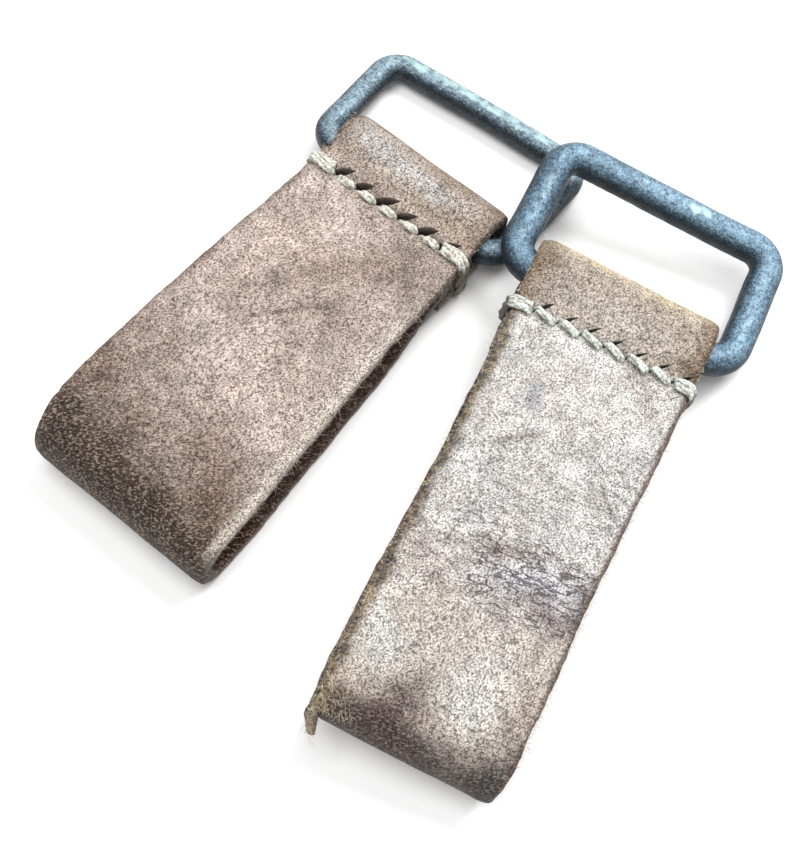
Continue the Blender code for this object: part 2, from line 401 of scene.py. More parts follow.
def strap_surface(loop):
    """Points of the worn leather: stations along the path by points round the cut section."""
    path = strap_path(loop)
    tangents = np.gradient(path, axis=0)
    tangents /= np.linalg.norm(tangents, axis=1)[:, None]
    normals = np.stack([-tangents[:, 1], tangents[:, 0]], axis=1)
    lengths = np.concatenate([[0], np.cumsum(np.linalg.norm(np.diff(path, axis=0), axis=1))])
    shape = section()
    seed, seam_y = loop["seed"], loop["seam_y"]

    y = path[:, 0]
    left, right = reach(loop, y)
    pinch = 0.00035 * np.exp(-(((y - seam_y) / 0.0012) ** 2))
    line = np.stack([lengths, np.zeros(len(lengths))], axis=1)
    head = ramp(seam_y - 0.001, seam_y + 0.002, y)

    def uneven(edge, shift):
        edge = edge - pinch + 0.00016 * layered(line, 0.005, seed + shift)
        edge = edge + 0.00006 * value_noise(line, 0.0009, seed + shift + 5)
        return np.where(head > 0, np.minimum(edge, head_edge(loop) + 0.0001), edge)

    left, right = uneven(left, 0), uneven(right, 9)
    if loop["side"] == "left":
        bites = 0.00055 * value_noise(line, 0.0022, seed + 1) + 0.00035 * value_noise(line, 0.0008, seed + 2)
        left = left - ramp(seam_y + 0.0016, seam_y + 0.003, y) * np.abs(bites)

    weight, offset, height = shape[:, 0], shape[:, 1], shape[:, 2]
    low, high = -(left - EDGE_R)[:, None], (right - EDGE_R)[:, None]
    x = low + (high - low) * weight[None, :] + offset[None, :]
    h = np.repeat(height[None, :], len(path), 0)
    yy, s, zz = (np.repeat(column[:, None], len(shape), 1) for column in (y, lengths, path[:, 1]))

    flat = np.stack([x.ravel(), s.ravel()], axis=1)
    outer = h.ravel() > 0
    lumps = 0.00011 * layered(flat, 0.007, seed + 20) + 0.00003 * layered(flat, 0.0012, seed + 30)
    h = h + np.where(outer, lumps, 0).reshape(h.shape)

    # the thread has pulled the top layer down, and the leather puckers between the slits
    front = (zz > FRONT_Z - HALF / 2) & (h > 0)
    groove = np.exp(-(((yy - seam_y + 0.0002) / 0.001) ** 2))
    along = (x - thread_holes(loop)[0]) / loop["pitch"]
    pucker = 0.5 + 0.5 * np.cos(2 * pi * (along + 0.3))
    inside = ramp(-head_edge(loop) - 0.001, -head_edge(loop) + 0.003, x)
    h = h - np.where(front, groove * (0.00042 + 0.00016 * pucker) * (0.4 + 0.6 * inside), 0)
    lip = np.exp(-(((yy - seam_y - 0.0021) / 0.001) ** 2))
    swell = np.exp(-(((yy - seam_y + 0.003) / 0.0014) ** 2))
    h = h + np.where(front, 0.00012 * lip * (1 - pucker) + 0.00014 * swell, 0)

    # the outer corners of the front panel are worn round
    worn = {"left": 0.00018, "right": 0.0005}[loop["side"]]
    left_rim = np.clip(1 - (x - low) / 0.0016, 0, 1) ** 2
    right_rim = np.clip(1 - (high - x) / 0.0012, 0, 1) ** 2
    h = h - np.where(outer.reshape(h.shape), worn * left_rim + 0.00016 * right_rim, 0)

    # a slow wave through both faces of the belt part
    belt = ramp(seam_y - 0.004, seam_y - 0.016, yy)
    middle = np.stack([x.ravel(), yy.ravel()], axis=1)
    upper = ramp(FOLD_Z - 0.002, FOLD_Z + 0.002, zz)
    wave = 0.00028 * value_noise(middle, 0.016, seed + 40).reshape(h.shape) * belt * upper
    sideways = 2 * (x - low) / (high - low) - 1
    crown = -0.00035 * sideways**2 * belt * upper

    points = np.empty((*h.shape, 3))
    points[..., 0] = x
    points[..., 1] = yy + normals[:, 0][:, None] * h
    points[..., 2] = zz + normals[:, 1][:, None] * h + wave + crown
    tail = seam_y - TAIL_LENGTH
    hidden = (height[None, :] < 0) & (yy < tail + 0.0004)
    return points, hidden


def slit_cutter(loop):
    """Lens-shaped awl slits, cut through the top layers of the seam."""
    centers = thread_holes(loop)
    if loop["spare_slit"]:
        centers.insert(0, -head_edge(loop) + loop["spare_slit"])
    rng = np.random.default_rng(loop["seed"])
    vertices, faces = [], []
    for number, x in enumerate(centers):
        half = loop["slit_length"] / 2 * (1 + 0.06 * rng.standard_normal())
        if loop["spare_slit"] and number == 0:
            half *= 0.62
        width = loop["slit_width"] / 2 * (1 + 0.12 * rng.standard_normal())
        angle = loop["slit_angle"] + 0.05 * rng.standard_normal()
        outline = []
        for side in (1, -1):
            for part in np.linspace(-side, side, 8)[:-1]:
                u, v = part * half + loop["slit_shift"], side * width * (1 - part * part)
                outline.append((u, -v))
        start = len(vertices)
        for z in (MIDDLE_Z - 0.0006, SEAM_TOP + 0.0015):
            for u, v in outline:
                vertices.append(
                    (x + u * cos(angle) - v * sin(angle), loop["seam_y"] + u * sin(angle) + v * cos(angle), z)
                )
        n = len(outline)
        faces.append(tuple(start + k for k in reversed(range(n))))
        faces.append(tuple(start + n + k for k in range(n)))
        for k in range(n):
            after = (k + 1) % n
            faces.append((start + k, start + after, start + n + after, start + n + k))
    cutter = mesh_object(loop["side"] + "_slits", vertices, faces, smooth=False)
    shape = bmesh.new()
    shape.from_mesh(cutter.data)
    bmesh.ops.recalc_face_normals(shape, faces=shape.faces)
    shape.to_mesh(cutter.data)
    shape.free()
    return cutter


def make_strap(loop):
    points, hidden = strap_surface(loop)
    stations, around = points.shape[:2]
    base = np.arange(stations - 1)[:, None] * around
    column = np.arange(around)[None, :]
    after = (column + 1) % around
    quads = np.stack([base + column, base + after, base + around + after, base + around + column], axis=2)
    faces = [tuple(q) for q in quads.reshape(-1, 4).tolist()]
    faces.append(tuple(range(around - 1, -1, -1)))
    faces.append(tuple(range((stations - 1) * around, stations * around)))
    strap = mesh_object(loop["side"] + "_leather_strap", points.reshape(-1, 3), faces)
    shape = bmesh.new()
    shape.from_mesh(strap.data)
    if shape.calc_volume(signed=True) < 0:
        bmesh.ops.reverse_faces(shape, faces=shape.faces)
        shape.to_mesh(strap.data)
    shape.free()

    cutter = slit_cutter(loop)
    pierce = strap.modifiers.new("slits", "BOOLEAN")
    pierce.solver = "EXACT"
    pierce.object = cutter
    bpy.context.view_layer.update()
    cut = bpy.data.meshes.new_from_object(strap.evaluated_get(bpy.context.evaluated_depsgraph_get()))
    strap.modifiers.clear()
    strap.data = cut
    bpy.data.objects.remove(cutter)
    cut.name = strap.name
    cut.shade_smooth()
    cut.set_sharp_from_angle(angle=radians(50))
    finder = KDTree(stations * around)
    for index, point in enumerate(points.reshape(-1, 3)):
        finder.insert(point, index)
    finder.balance()
    nearest = [finder.find(vertex.co)[1] for vertex in cut.vertices]
    paint_strap(loop, cut, hidden.ravel()[nearest])
    return strap


# ---- wear, stains, painted shade and painted highlights


# Stains, and two painted highlights among the right strap's cracks, in the order they are laid: colour on
# screen, amount, middle, size and turn, in the loop's own frame
LEFT_CLOUDS = (
    ((140, 127, 119), 0.75, (0.0085, -0.012), (0.0065, 0.005), -0.6),
    ((150, 128, 112), 0.6, (-0.001, -0.02), (0.013, 0.0035), 0.9),
    ((156, 140, 130), 0.55, (0.007, -0.025), (0.006, 0.004), 0.4),
    ((232, 214, 203), 0.6, (-0.008, -0.019), (0.0055, 0.007)),
    ((230, 212, 202), 0.55, (0.004, -0.04), (0.006, 0.008)),
)
LEFT_STAINS = (
    ((56, 48, 46), 0.9, (-0.0138, -0.0572), (0.003, 0.0036)),
    ((70, 54, 44), 0.75, (-0.004, -0.0585), (0.0085, 0.0045)),
    ((60, 48, 40), 0.85, (0.0105, -0.0615), (0.0055, 0.0035)),
    ((84, 70, 64), 0.8, (-0.005, -0.0548), (0.0011, 0.0018), 0.5),
    ((130, 124, 130), 0.6, (-0.0047, -0.0244), (0.0014, 0.0011)),
)
RIGHT_STAINS_AND_HIGHLIGHTS = (
    ((180, 178, 186), 0.7, (0.005, -0.043), (0.009, 0.004), 0.1),
    # painted highlights: two bluish-white glints among the cracks
    ((236, 240, 248), 0.8, (0.0035, -0.0425), (0.0036, 0.0018), 0.2),
    ((236, 240, 248), 0.6, (0.0085, -0.0415), (0.0022, 0.0012), -0.2),
    ((124, 106, 106), 0.65, (0.0085, -0.0455), (0.0042, 0.0014), -0.2),
    ((140, 120, 106), 0.55, (-0.001, -0.0405), (0.005, 0.0012), 0.3),
    ((78, 52, 50), 0.92, (-0.0042, -0.064), (0.0036, 0.0056), -0.2),
    ((66, 42, 36), 0.92, (-0.001, -0.069), (0.0075, 0.0026)),
    ((240, 242, 240), 0.9, (0.0042, -0.0595), (0.0046, 0.0048)),
    ((238, 242, 238), 0.9, (-0.01, -0.057), (0.0026, 0.005), 0.2),
    ((50, 46, 50), 0.85, (0.0112, -0.0662), (0.0028, 0.0042)),
    ((60, 58, 68), 0.85, (0.0118, -0.0428), (0.0014, 0.003)),
    ((150, 156, 166), 0.85, (-0.0057, -0.0194), (0.0011, 0.0013)),
)

# Creases: colour on screen, amount, start, end and width
LEFT_CREASES = (
    ((104, 86, 76), 0.75, (-0.0052, -0.0332), (0.005, -0.0214), 0.00035),
    ((120, 100, 88), 0.5, (0.002, -0.024), (0.0075, -0.0225), 0.0004),
)
RIGHT_CREASES = (
    ((132, 116, 106), 0.75, (-0.01, -0.029), (-0.001, -0.0228), 0.0003),
    ((128, 112, 104), 0.75, (0.006, -0.025), (0.012, -0.0312), 0.0003),
    ((140, 126, 116), 0.6, (0.008, -0.0225), (0.0118, -0.0262), 0.0003),
)

def srgb(*values):
    """A colour picked on screen, as linear light."""
    values = np.array(values) / 255
    return np.where(values <= 0.04045, values / 12.92, ((values + 0.055) / 1.055) ** 2.4)


def lay(colors, tint, amount):
    """Mixes a tint over the colours by an amount per point."""
    return colors + (np.asarray(tint) - colors) * np.clip(amount, 0, 1)[:, None]


def paint_strap(loop, mesh, inside):
    """Lays the stains, the worn edges, the slot's dark inner face, painted shade and painted highlights on
    the leather, in the loop's own frame.
    """
    points = coordinates(mesh)
    x, y, z = points.T
    left, right = reach(loop, y)
    from_edge = np.minimum(x + left, right - x)
    seam_y, seed = loop["seam_y"], loop["seed"]
    flat = np.stack([x, y], axis=1)
    along = (seam_y - y) / loop["length"]
    cloud = layered(flat, 0.012, seed + 50)
    patch = layered(flat, 0.0045, seed + 60)
    grain = layered(points, 0.0016, seed + 70)
    top = z > FOLD_Z
    sx = x + 0.0011 * patch + 0.0004 * grain
    sy = y + 0.0011 * layered(flat, 0.0045, seed + 65) + 0.0004 * grain

    def wash(tint, amount):
        """Lays a colour, given as seen on screen, over the strap."""
        nonlocal colors
        colors = lay(colors, srgb(*tint), amount)

    def colour_patch(tint, amount, center, size, angle=0.0):
        """A soft patch of colour with a ragged rim: stains, and on the right strap two painted highlights."""
        wash(tint, amount * spot(sx, sy, center, size, angle))

    def crease(tint, amount, start, end, width):
        """A thin crease from one point to another."""
        start, end = np.array(start), np.array(end)
        run = end - start
        part = np.clip(((x - start[0]) * run[0] + (y - start[1]) * run[1]) / run.dot(run), 0, 1)
        off = np.hypot(x - start[0] - part * run[0], y - start[1] - part * run[1] + 0.0005 * patch)
        fade = np.sin(np.clip(part, 0.02, 0.98) * pi)
        wash(tint, amount * fade * np.exp(-((off / width) ** 2)) * top)

    if loop["side"] == "left":
        colors = np.tile(srgb(216, 202, 194), (len(x), 1))
        wash((176, 158, 144), 0.25 + 0.5 * patch)
        wash((222, 208, 199), 0.45 * ramp(-0.1, 0.8, cloud))
        for row in LEFT_CLOUDS:
            colour_patch(*row)
        nap = 0.8 + 0.2 * ramp(0.6, 0.9, along)
        worn = ramp(0.58, 0.98, along + 0.12 * cloud + 0.07 * patch - 5.0 * x)
        wash((106, 82, 64), 0.94 * worn)
        darkest = ramp(0.8, 0.98, along + 0.05 * patch + 0.02 * grain - 2.0 * x)
        wash((44, 32, 26), 0.94 * darkest)
        for row in LEFT_STAINS:
            colour_patch(*row)
        for row in LEFT_CREASES:
            crease(*row)
        wrap = ramp(seam_y + 0.0012, seam_y + 0.003, y)
        wash((170, 154, 138), 0.8 * wrap)
        grey = spot(sx, sy, (-0.0075, 0.0022), (0.0065, 0.003), -0.2)
        grey = grey + spot(sx, sy, (0.002, 0.0012), (0.008, 0.0016))
        wash((212, 214, 216), 0.7 * wrap * grey)
        wash((138, 108, 86), 0.75 * wrap * ramp(0.0042, 0.006, y + 0.0005 * patch))
        wash((120, 98, 80), 0.55 * wrap * ramp(0.0105, 0.0134, np.abs(x)))
        colors = colors * 0.9
    else:
        colors = np.tile(srgb(236, 236, 235), (len(x), 1))
        wash((196, 188, 178), 0.25 + 0.5 * patch)
        wash((226, 227, 228), 0.5 * ramp(0.0, 0.8, cloud))
        nap = 0.55 + 0.4 * ramp(0.35, 0.75, along + 0.1 * cloud)
        worn = ramp(0.45, 0.95, along + 0.14 * cloud + 0.05 * patch)
        wash((194, 172, 150), 0.7 * worn)
        wash((50, 32, 25), 0.9 * ramp(0.9, 1.0, along + 0.04 * patch))
        for row in RIGHT_STAINS_AND_HIGHLIGHTS:
            colour_patch(*row)
        for row in RIGHT_CREASES:
            crease(*row)
        wrap = ramp(seam_y + 0.0004, seam_y + 0.0016, y)
        wash((186, 174, 158), 0.92 * wrap)
        colour_patch((214, 206, 198), 0.8 * wrap, (0.001, -0.0035), (0.009, 0.0024))
        wash((134, 112, 94), 0.6 * wrap * ramp(0.1, 0.6, cloud + 0.6 * patch))
        crown = ramp(0.0016, 0.0044, y + 0.001 * patch) * ramp(bar_z(loop), bar_z(loop) + 0.0026, z)
        wash((250, 234, 190), 0.9 * wrap * crown)
        wash((122, 96, 66), 0.75 * wrap * ramp(0.0096, 0.0134, np.abs(x) + 0.0006 * patch))
        colors = colors * 0.93
        rim = ramp(0.002, 0.0007, x + left + 0.0007 * patch + 0.0005 * grain)
        speckle = value_noise(points, 0.0005, seed + 73) > 0
        rim_tint = np.where(speckle[:, None], srgb(142, 122, 88), srgb(52, 42, 30))
        colors = lay(colors, rim_tint, 0.9 * rim * (1 - wrap) * top)
        rim = ramp(0.001, 0.0003, right - x + 0.0004 * patch)
        wash((96, 72, 52), 0.85 * rim * top)

    # cut edges, the inside of the belt slot with painted shade, the back, and painted shade in the slits,
    # between the layers and along the seam's groove
    outer_top = (z > SEAM_TOP - 0.00115) & top
    cut = ramp(0.00034, 0.00008, from_edge + 0.00008 * grain)
    edge_tint = {"left": srgb(58, 47, 40), "right": srgb(84, 62, 40)}[loop["side"]]
    colors = lay(colors, edge_tint, 0.9 * cut * np.where(outer_top, 0.7, 1.0))
    if loop["side"] == "left":
        pale = ramp(0.0019, 0.0006, right - x + 0.0006 * grain) * ramp(0.12, 0.3, along)
        pale = pale * ramp(0.99, 0.9, along)
        wash((226, 220, 210), 0.75 * pale * outer_top)
        soil = ramp(0.0016, 0.0002, x + left + 0.0005 * grain)
        wash((96, 74, 58), 0.6 * soil * top)
    # the inside of the belt slot: the leather's dark inner face, darkened further as painted shade
    dark_inner_face_and_shade = {"left": srgb(62, 32, 26), "right": srgb(84, 54, 40)}[loop["side"]]
    colors = lay(colors, dark_inner_face_and_shade, 0.92 * inside)
    under = (z < 0.0018) & ~inside
    wash((150, 128, 108), 0.55 * under)
    # painted shade: the slit walls and the hidden faces between the layers around the seam are darkened
    near_seam = np.abs(y - seam_y) < 0.0028
    deep = near_seam & (z < SEAM_TOP - 0.00085) & (z > MIDDLE_Z - 0.0014) & (from_edge > 0.0008)
    wash((46, 32, 25), 0.95 * deep)
    # painted shade along the groove that the thread pulls into the top layer
    furrow = np.exp(-(((y - seam_y) / 0.0011) ** 2)) * top * (0.55 + 0.3 * grain)
    wash((88, 68, 54), {"left": 0.75, "right": 0.55}[loop["side"]] * furrow)

    add_color(mesh, "paint", colors)
    cracks = np.zeros(len(x))
    if loop["side"] == "right":
        cracks = ramp(0.1, 0.45, spot(sx, sy, (0.005, -0.043), (0.0095, 0.0048), 0.1))
        cracks = np.maximum(cracks, 0.6 * spot(x, y, (0.009, -0.0285), (0.003, 0.006), 0.3))
        cracks = np.maximum(cracks, 0.45 * ramp(0.1, 0.6, cloud))
    add_value(mesh, "cracks", cracks * top)
    add_value(mesh, "nap", np.maximum(nap, 0.9 * (y > seam_y)))


# ---- threads, rings and loose fibres


def thread_route(loop):
    """The one thread in saddle stitch, with an end going round each edge, as corners of its route."""
    over, under = SEAM_TOP + 0.00012, SEAM_BOTTOM - 0.0006
    aside = head_edge(loop) + 0.00042
    apart = np.array([cos(loop["slit_angle"]), sin(loop["slit_angle"])]) * STRAND_SPACING / 2
    holes = [np.array([x, loop["seam_y"]]) for x in thread_holes(loop)]

    def low(index, z):
        return np.array([*(holes[index] - apart), z])

    def high(index, z):
        return np.array([*(holes[index] + apart), z])

    def strand(front):
        corners = []
        for index in range(len(holes) - 1):
            if front:
                start, end = high(index, over), low(index + 1, over)
                sunk = high(index, over - 0.0013)
                if loop["side"] == "left":
                    run = end - low(index, over)
                    sunk = low(index, over - 0.0018) + run * 0.2
                    start = low(index, over - 0.0002) + run * 0.54
                corners += [sunk, start, end, end - (0, 0, 0.0014)]
            else:
                start, end = low(index, under), high(index + 1, under)
                step = np.array([0.0014, 0, 0])
                corners += [start, start + step, end - step, end]
            front = not front
        return corners, front

    first, first_ends_front = strand(True)
    second, _ = strand(False)
    last = len(holes) - 1
    far, near = high(0, 0)[1], low(0, 0)[1]
    left_turn = [
        high(0, under),
        np.array([-aside + 0.0006, far, under]),
        np.array([-aside, far - 0.0002, under + 0.0012]),
        np.array([-aside, near + 0.0002, over - 0.0014]),
        np.array([-aside + 0.0008, near, over]),
        low(0, over + 0.0001),
        low(0, over - 0.0012),
    ]
    stub = [low(last, under)]
    right_turn = [
        high(last, over - 0.0012),
        high(last, over + 0.0001),
        np.array([aside - 0.0008, far, over + 0.0001]),
        np.array([aside, far - 0.0002, over - 0.0014]),
        np.array([aside, near + 0.0002, under + 0.0012]),
        np.array([aside - 0.0006, near, under]),
        low(last, under) + np.array([0.0013, 0, 0]),
    ]
    if first_ends_front:
        first, second = first + right_turn, second + stub
    else:
        first, second = first + stub, second + right_turn
    again = np.array([0, 0.00085, 0])
    doubled = [point + again for point in left_turn[1:-1]], [point - again for point in right_turn[1:-1]]
    return [list(reversed(first)) + left_turn + second, *doubled]


def twist(loop, route, number):
    """Three plies laid round each other along the route."""
    path = softened(resample(route, THREAD_STEP), 10)
    tangents = np.gradient(path, axis=0)
    tangents /= np.linalg.norm(tangents, axis=1)[:, None]
    lengths = np.concatenate([[0], np.cumsum(np.linalg.norm(np.diff(path, axis=0), axis=1))])
    normal = np.cross(tangents[0], (0.3, 0.2, 1.0))
    frames = []
    for tangent in tangents:
        normal = normal - tangent * normal.dot(tangent)
        normal /= np.linalg.norm(normal)
        frames.append((normal, np.cross(tangent, normal)))
    for ply in range(PLIES):
        turn = 2 * pi * (lengths / TWIST_LENGTH + ply / PLIES) + number
        center = path.copy()
        for index, (one, other) in enumerate(frames):
            aside = cos(turn[index]) * one + sin(turn[index]) * other
            center[index] += loop["ply_r"] * PLY_OFFSET * aside
        line = np.stack([lengths, lengths * 0 + ply + PLIES * number], 1)
        swell = 1 + 0.1 * value_noise(line, 0.0011, loop["seed"])
        yield sweep(center, loop["ply_r"] * swell, PLY_SIDES)


def make_thread(loop):
    routes = enumerate(thread_route(loop))
    vertices, faces = joined(ply for number, route in routes for ply in twist(loop, route, number))
    thread = mesh_object(loop["side"] + "_waxed_thread", vertices, faces)
    # painted shade: the thread is darkened where it sinks below the leather's top, into the slits, round the
    # edges and underneath
    add_value(thread.data, "sunk", ramp(SEAM_TOP - 0.0001, SEAM_TOP - 0.0011, vertices[:, 2]))
    return thread


def rounded(corners, step=radians(4)):
    """A closed path through the corners, each given with the radius of its bend."""
    count = len(corners)
    points = []
    for index in range(count):
        before, corner, after = (Vector((*corners[(index + k) % count][:2], 0)) for k in (-1, 0, 1))
        radius = corners[index][2]
        inward = (before - corner).normalized()
        outward = (after - corner).normalized()
        turn = pi - inward.angle(outward)
        back = radius * tan(turn / 2)
        center = corner + (inward + outward).normalized() * (radius / cos(turn / 2))
        start, end = corner + inward * back - center, corner + outward * back - center
        steps = max(1, round(turn / step))
        for k in range(steps + 1):
            part = k / steps
            swing = start * sin((1 - part) * turn) + end * sin(part * turn)
            points.append(np.array(center + swing / sin(turn)))
    points.append(points[0])
    return np.array(points)


def make_ring(loop):
    """The bent wire: slightly uneven bars, with flats and dents under its zinc."""
    path = resample(rounded(loop["ring"]), RING_STEP)[:-1]
    free = ramp(0.0035, 0.008, path[:, 1])[:, None]
    seed = loop["seed"] + 80
    wobble = np.stack([layered(path, 0.016, seed + k, 2) for k in range(3)], axis=1)
    path = path + wobble * (0.00022, 0.00022, 0.00016) * free
    radii = loop["wire_r"] * (1 + 0.012 * layered(path, 0.006, seed + 7, 2))
    vertices, faces = sweep(path, radii, RING_SIDES, closed=True)
    out = vertices - np.repeat(path, RING_SIDES, 0)
    out /= np.linalg.norm(out, axis=1)[:, None]
    loose = ramp(0.0035, 0.008, vertices[:, 1])
    dents = 0.00005 * layered(vertices, 0.0028, seed + 11)
    dents = dents + 0.00002 * value_noise(vertices, 0.0007, seed + 12)
    vertices = vertices + out * (dents * (0.3 + 0.7 * loose))[:, None]
    ring = mesh_object(loop["side"] + "_wire_ring", vertices, faces)
    paint_ring(loop, ring.data, vertices, out)
    return ring


def paint_ring(loop, mesh, points, out):
    """Where the wire is worn through to bright zinc or dark with grime, with painted shade down its sides and
    underneath and a painted highlight along its top.
    """
    x, y = points.T[:2]
    seed = loop["seed"] + 90
    broad = layered(points, 0.006, seed)
    patch = layered(points, 0.0018, seed + 3)
    above = out[:, 2]
    ragged = value_noise(points, 0.0009, seed + 5)
    worn = 0.2 * ramp(0.2, 0.8, patch)
    dark = 0.4 * ramp(0.1, 0.8, -broad)
    # how squarely the wire faces up, leaning a little towards +Y, for the painted shade and highlight below
    light_facing = 0.99 * above + 0.14 * out[:, 1] + 0.06 * patch + 0.04 * ragged
    # painted shade: the wire's sides and underside are darkened, over the random grime patches
    dark = np.maximum(dark, 0.95 * ramp(0.84, 0.42, light_facing))
    # painted highlight: a pale band along the top of the wire
    pale = 0.75 * ramp(0.7, 0.97, light_facing + 0.08 * broad)
    if loop["side"] == "right":
        lit = ramp(0.1, 0.5, above)
        oval = spot(x, y, (0.004, 0.019), (0.0026, 0.0013)) * (0.75 + 0.6 * ragged)
        streak = 0.55 * spot(x, y, (-0.017, 0.011), (0.0008, 0.0035), 0.1) * (1 + 0.6 * ragged)
        faint = 0.4 * spot(x, y, (-0.0035, 0.019), (0.003, 0.001))
        rim = 1.1 * spot(x, y, (0.0167, 0.015), (0.0011, 0.0018))
        rim = rim - 1.1 * spot(x, y, (0.0167, 0.015), (0.0006, 0.0009))
        for mark in (oval, streak, faint, rim):
            worn = np.maximum(worn, lit * mark)
    else:
        # painted highlight: the top of the left ring's upper bar is made pale, laid in with the worn patches
        bar = ramp(0.0145, 0.017, y)
        crest_highlight = ramp(0.84, 0.97, light_facing)
        worn = np.maximum(worn, bar * crest_highlight * (0.62 + 0.3 * ragged))
    # worn: worn patches and marks, with the left ring's painted highlight; dark: grime and painted shade;
    # pale: painted highlight
    add_value(mesh, "worn", worn)
    add_value(mesh, "dark", dark)
    add_value(mesh, "pale", pale)


def make_fibres(loop):
    """Loose fibres along the cut edges, and the torn corner of the right strap."""
    rng = np.random.default_rng(loop["seed"] + 200)
    seam_y, length = loop["seam_y"], loop["length"]
    starts = []
    for _ in range(EDGE_FIBRES[loop["side"]]):
        y = seam_y - 0.001 - rng.random() * (length - 0.006)
        side = -1 if rng.random() < 0.55 else 1
        left, right = reach(loop, np.array([y]))
        x = -left[0] + 0.00012 if side < 0 else right[0] - 0.00012
        height = min(FOLD_TOP + HALF, SEAM_TOP + max(0.0, (seam_y - 0.002 - y)) * 0.3)
        z = height - 0.0003 - rng.random() * 0.002
        aim = np.array([side * (0.5 + rng.random()), rng.normal(0, 0.7), rng.normal(0, 0.35)])
        longest = 0.001 if y < seam_y - 0.005 else 0.0003
        starts.append(((x, y, z), aim, rng.uniform(0.0003, longest), 0.00003))
    for _ in range(WRAP_FIBRES):
        y = rng.uniform(seam_y + 0.001, loop["eye_slack"] + bar_z(loop) - 0.0016)
        side = -1 if rng.random() < 0.6 else 1
        height = bar_z(loop) + wrap_r(loop) + rng.uniform(-0.0009, 0.0009)
        place = (side * (head_edge(loop) - 0.0001), y, height)
        aim = np.array([side * (0.6 + rng.random()), rng.normal(0, 0.6), rng.normal(0, 0.5)])
        starts.append((place, aim, rng.uniform(0.0001, 0.0003), 0.00004))
    if loop["side"] == "right":
        radius = FOLD_R + HALF
        flap = np.array(TORN_FLAP)
        for _ in range(STRIP_FIBRES):
            part = rng.random()
            place = [np.interp(part, (0, 0.5, 1), flap[:, axis]) for axis in range(3)]
            place = np.array(place) + rng.normal(0, 0.00035, 3)
            aim = np.array([0.05, -1.0, -0.6]) + rng.normal(0, 0.45, 3)
            starts.append((tuple(place), aim, rng.uniform(0.0004, 0.001), 0.00005))
        for _ in range(CORNER_FIBRES):
            x, y = rng.triangular(-0.014, -0.0132, -0.008), fold_y(loop) - rng.uniform(0.0004, 0.005)
            rise = np.sqrt(radius**2 - min(0.0, y - fold_y(loop)) ** 2)
            aim = np.array([0.2, -1.0, 0.25]) + rng.normal(0, 0.7, 3)
            starts.append(((x, y, FOLD_Z + rise - 0.0005), aim, rng.uniform(0.0004, 0.0011), 0.00004))
    hairs = []
    for place, aim, long, thick in starts:
        aim = aim / np.linalg.norm(aim)
        sag = rng.normal(0, 0.6, 3)
        part = np.linspace(0, 1, 5)[:, None]
        line = np.array(place) + aim * long * part + sag * long * part**2
        hairs.append(sweep(line, thick * (1 - 0.7 * part[:, 0]), 4))
    return mesh_object(loop["side"] + "_edge_fibres", *joined(hairs))


def make_flap(loop):
    """The torn strip of leather at the right strap's lower left corner, flat and tapering."""
    line = softened(resample(TORN_FLAP, 0.0001), 12)
    part = np.linspace(0, 1, len(line))
    ragged = 1 + 0.14 * value_noise(line, 0.0009, loop["seed"]) + 0.08 * value_noise(line, 0.0004, 5)
    radii = (0.001 - 0.00045 * part**2) * ragged * ramp(-0.02, 0.05, 1.01 - part)
    vertices, faces = sweep(line, radii, FLAP_SIDES)
    middle = np.repeat(line, FLAP_SIDES, 0)
    vertices = middle + (vertices - middle) * (1.0, 0.55, 0.55)
    flap = mesh_object("right_torn_flap", vertices, faces)
    rim = ramp(0.35, 0.85, np.abs(vertices - middle)[:, 0] / 0.001)
    colors = lay(np.tile(srgb(176, 160, 138), (len(vertices), 1)), srgb(56, 42, 30), 0.9 * rim)
    add_color(flap.data, "paint", colors)
    add_value(flap.data, "cracks", rim * 0)
    add_value(flap.data, "nap", rim * 0 + 0.8)
    return flap


# ---- materials


